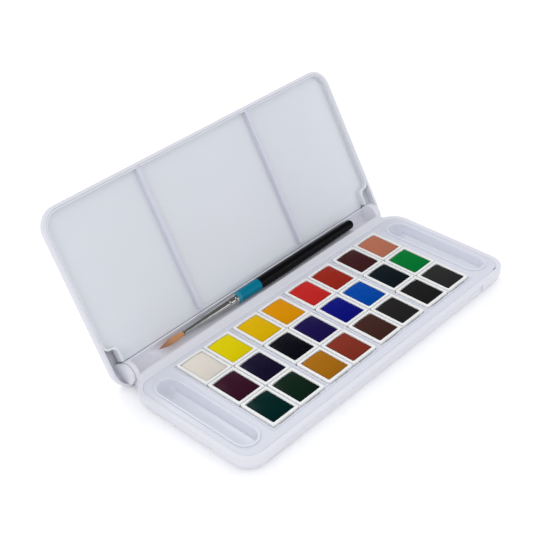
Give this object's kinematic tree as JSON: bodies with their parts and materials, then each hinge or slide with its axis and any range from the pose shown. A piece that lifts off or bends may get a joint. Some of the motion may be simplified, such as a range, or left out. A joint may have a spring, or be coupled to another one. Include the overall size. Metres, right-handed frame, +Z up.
{
  "type": "watercolor travel set",
  "caption": "Folding watercolour box with a hinged palette lid, rows of paint pans, two mixing wells and a short round brush.",
  "frame": {"origin": "on the flat underside of the base, below the middle of the pan grid", "axes": "+X along the box, +Y towards the hinge, +Z up; the lid is open at rest"},
  "size_m": [0.1848, 0.1253, 0.0775],
  "materials": {
    "box_plastic": "satin moulded plastic, cool white",
    "tray_plastic": "satin moulded plastic, cool white",
    "palette_plastic": "satin moulded plastic, cool white",
    "pan_plastic": "warm white moulded plastic",
    "handle_lacquer": "glossy lacquer, black behind a teal band",
    "ferrule_metal": "polished nickel plate",
    "brush_hair": "orange brown bristle",
    "paint_01": "dried watercolour cake, warm white",
    "paint_02": "dried watercolour cake, lemon yellow",
    "paint_03": "dried watercolour cake, golden yellow",
    "paint_04": "dried watercolour cake, orange yellow",
    "paint_05": "dried watercolour cake, vermilion red",
    "paint_06": "dried watercolour cake, brick red",
    "paint_07": "dried watercolour cake, dark crimson",
    "paint_08": "dried watercolour cake, rose beige",
    "paint_09": "dried watercolour cake, deep violet",
    "paint_10": "dried watercolour cake, dark violet",
    "paint_11": "dried watercolour cake, blue black",
    "paint_12": "dried watercolour cake, indigo",
    "paint_13": "dried watercolour cake, ultramarine",
    "paint_14": "dried watercolour cake, bright blue",
    "paint_15": "dried watercolour cake, grey black",
    "paint_16": "dried watercolour cake, bright green",
    "paint_17": "dried watercolour cake, dark viridian",
    "paint_18": "dried watercolour cake, dark sap green",
    "paint_19": "dried watercolour cake, ochre",
    "paint_20": "dried watercolour cake, red brown",
    "paint_21": "dried watercolour cake, umber",
    "paint_22": "dried watercolour cake, sepia black",
    "paint_23": "dried watercolour cake, lamp black",
    "paint_24": "dried watercolour cake, neutral grey"
  },
  "bodies": {
    "base": {"base_shell": "box_plastic", "pan_tray": "tray_plastic"},
    "lid": {"lid_cover": "box_plastic", "lid_palette": "palette_plastic"},
    "brush": {"brush_handle": "handle_lacquer", "brush_ferrule": "ferrule_metal", "brush_hair": "brush_hair"},
    "pan_01": {"half_pan_01": "pan_plastic", "paint_01": "paint_01"},
    "pan_02": {"half_pan_02": "pan_plastic", "paint_02": "paint_02"},
    "pan_03": {"half_pan_03": "pan_plastic", "paint_03": "paint_03"},
    "pan_04": {"half_pan_04": "pan_plastic", "paint_04": "paint_04"},
    "pan_05": {"half_pan_05": "pan_plastic", "paint_05": "paint_05"},
    "pan_06": {"half_pan_06": "pan_plastic", "paint_06": "paint_06"},
    "pan_07": {"half_pan_07": "pan_plastic", "paint_07": "paint_07"},
    "pan_08": {"half_pan_08": "pan_plastic", "paint_08": "paint_08"},
    "pan_09": {"half_pan_09": "pan_plastic", "paint_09": "paint_09"},
    "pan_10": {"half_pan_10": "pan_plastic", "paint_10": "paint_10"},
    "pan_11": {"half_pan_11": "pan_plastic", "paint_11": "paint_11"},
    "pan_12": {"half_pan_12": "pan_plastic", "paint_12": "paint_12"},
    "pan_13": {"half_pan_13": "pan_plastic", "paint_13": "paint_13"},
    "pan_14": {"half_pan_14": "pan_plastic", "paint_14": "paint_14"},
    "pan_15": {"half_pan_15": "pan_plastic", "paint_15": "paint_15"},
    "pan_16": {"half_pan_16": "pan_plastic", "paint_16": "paint_16"},
    "pan_17": {"half_pan_17": "pan_plastic", "paint_17": "paint_17"},
    "pan_18": {"half_pan_18": "pan_plastic", "paint_18": "paint_18"},
    "pan_19": {"half_pan_19": "pan_plastic", "paint_19": "paint_19"},
    "pan_20": {"half_pan_20": "pan_plastic", "paint_20": "paint_20"},
    "pan_21": {"half_pan_21": "pan_plastic", "paint_21": "paint_21"},
    "pan_22": {"half_pan_22": "pan_plastic", "paint_22": "paint_22"},
    "pan_23": {"half_pan_23": "pan_plastic", "paint_23": "paint_23"},
    "pan_24": {"half_pan_24": "pan_plastic", "paint_24": "paint_24"}
  },
  "joints": [
    {"name": "lid_hinge", "type": "hinge", "parent": "base", "child": "lid", "pos_m": [0, 0.043, 0.0079], "axis": [-1, 0, 0], "range_deg": [-119.6, 0]},
    {"name": "brush_lift", "type": "slide", "parent": "base", "child": "brush", "axis": [0, 0, 1], "range_m": [0, 0.02]},
    {"name": "pan_01_lift", "type": "slide", "parent": "base", "child": "pan_01", "axis": [0, 0, 1], "range_m": [0, 0.015]},
    {"name": "pan_02_lift", "type": "slide", "parent": "base", "child": "pan_02", "axis": [0, 0, 1], "range_m": [0, 0.015]},
    {"name": "pan_03_lift", "type": "slide", "parent": "base", "child": "pan_03", "axis": [0, 0, 1], "range_m": [0, 0.015]},
    {"name": "pan_04_lift", "type": "slide", "parent": "base", "child": "pan_04", "axis": [0, 0, 1], "range_m": [0, 0.015]},
    {"name": "pan_05_lift", "type": "slide", "parent": "base", "child": "pan_05", "axis": [0, 0, 1], "range_m": [0, 0.015]},
    {"name": "pan_06_lift", "type": "slide", "parent": "base", "child": "pan_06", "axis": [0, 0, 1], "range_m": [0, 0.015]},
    {"name": "pan_07_lift", "type": "slide", "parent": "base", "child": "pan_07", "axis": [0, 0, 1], "range_m": [0, 0.015]},
    {"name": "pan_08_lift", "type": "slide", "parent": "base", "child": "pan_08", "axis": [0, 0, 1], "range_m": [0, 0.015]},
    {"name": "pan_09_lift", "type": "slide", "parent": "base", "child": "pan_09", "axis": [0, 0, 1], "range_m": [0, 0.015]},
    {"name": "pan_10_lift", "type": "slide", "parent": "base", "child": "pan_10", "axis": [0, 0, 1], "range_m": [0, 0.015]},
    {"name": "pan_11_lift", "type": "slide", "parent": "base", "child": "pan_11", "axis": [0, 0, 1], "range_m": [0, 0.015]},
    {"name": "pan_12_lift", "type": "slide", "parent": "base", "child": "pan_12", "axis": [0, 0, 1], "range_m": [0, 0.015]},
    {"name": "pan_13_lift", "type": "slide", "parent": "base", "child": "pan_13", "axis": [0, 0, 1], "range_m": [0, 0.015]},
    {"name": "pan_14_lift", "type": "slide", "parent": "base", "child": "pan_14", "axis": [0, 0, 1], "range_m": [0, 0.015]},
    {"name": "pan_15_lift", "type": "slide", "parent": "base", "child": "pan_15", "axis": [0, 0, 1], "range_m": [0, 0.015]},
    {"name": "pan_16_lift", "type": "slide", "parent": "base", "child": "pan_16", "axis": [0, 0, 1], "range_m": [0, 0.015]},
    {"name": "pan_17_lift", "type": "slide", "parent": "base", "child": "pan_17", "axis": [0, 0, 1], "range_m": [0, 0.015]},
    {"name": "pan_18_lift", "type": "slide", "parent": "base", "child": "pan_18", "axis": [0, 0, 1], "range_m": [0, 0.015]},
    {"name": "pan_19_lift", "type": "slide", "parent": "base", "child": "pan_19", "axis": [0, 0, 1], "range_m": [0, 0.015]},
    {"name": "pan_20_lift", "type": "slide", "parent": "base", "child": "pan_20", "axis": [0, 0, 1], "range_m": [0, 0.015]},
    {"name": "pan_21_lift", "type": "slide", "parent": "base", "child": "pan_21", "axis": [0, 0, 1], "range_m": [0, 0.015]},
    {"name": "pan_22_lift", "type": "slide", "parent": "base", "child": "pan_22", "axis": [0, 0, 1], "range_m": [0, 0.015]},
    {"name": "pan_23_lift", "type": "slide", "parent": "base", "child": "pan_23", "axis": [0, 0, 1], "range_m": [0, 0.015]},
    {"name": "pan_24_lift", "type": "slide", "parent": "base", "child": "pan_24", "axis": [0, 0, 1], "range_m": [0, 0.015]}
  ]
}
